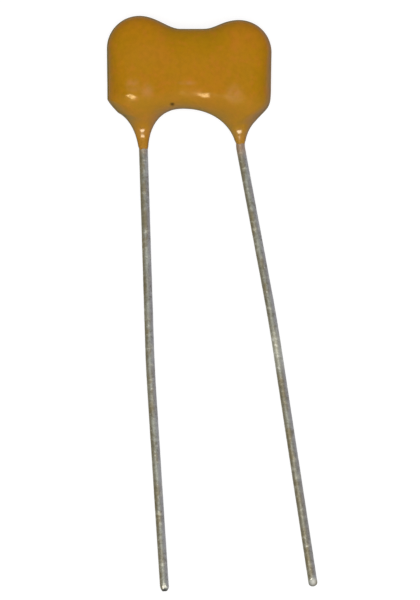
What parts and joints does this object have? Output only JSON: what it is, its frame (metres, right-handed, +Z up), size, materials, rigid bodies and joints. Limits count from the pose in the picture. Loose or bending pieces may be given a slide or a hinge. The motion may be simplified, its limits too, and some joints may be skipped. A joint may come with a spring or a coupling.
{
  "type": "dipped mica capacitor",
  "caption": "Dipped mica capacitor: dog-bone ochre resin body with rounded lobes, an arch below and flared necks on long tinned wire leads.",
  "frame": {"origin": "middle of the bounding box's underside: the surface the part lies on", "axes": "+Y from the lead tips to the top of the body, +X across the leads to the lead with the wider lean, +Z up through the body's thickness, out of its front"},
  "size_m": [0.0189, 0.0516, 0.0047],
  "materials": {
    "ochre_resin": "glossy dipped resin",
    "tinned_wire": "dull hot-tinned, drawn",
    "clamp_brass": "plain strip",
    "plain_mica": "cleaved sheet",
    "silvered_mica": "fired silver on mica",
    "soft_foil": "soft tin-lead foil"
  },
  "bodies": {
    "root": {"coating": "ochre_resin", "left_clamp": "clamp_brass", "right_clamp": "clamp_brass", "left_lead": "tinned_wire", "right_lead": "tinned_wire", "front_cover": "plain_mica", "back_cover": "plain_mica", "mica_plate_1": "silvered_mica", "mica_plate_2": "silvered_mica", "mica_plate_3": "silvered_mica", "mica_plate_4": "silvered_mica", "mica_plate_5": "silvered_mica", "mica_plate_6": "silvered_mica", "mica_plate_7": "silvered_mica", "foil_1": "soft_foil", "foil_2": "soft_foil", "foil_3": "soft_foil", "foil_4": "soft_foil", "foil_5": "soft_foil", "foil_6": "soft_foil", "foil_7": "soft_foil", "foil_8": "soft_foil"}
  },
  "joints": []
}
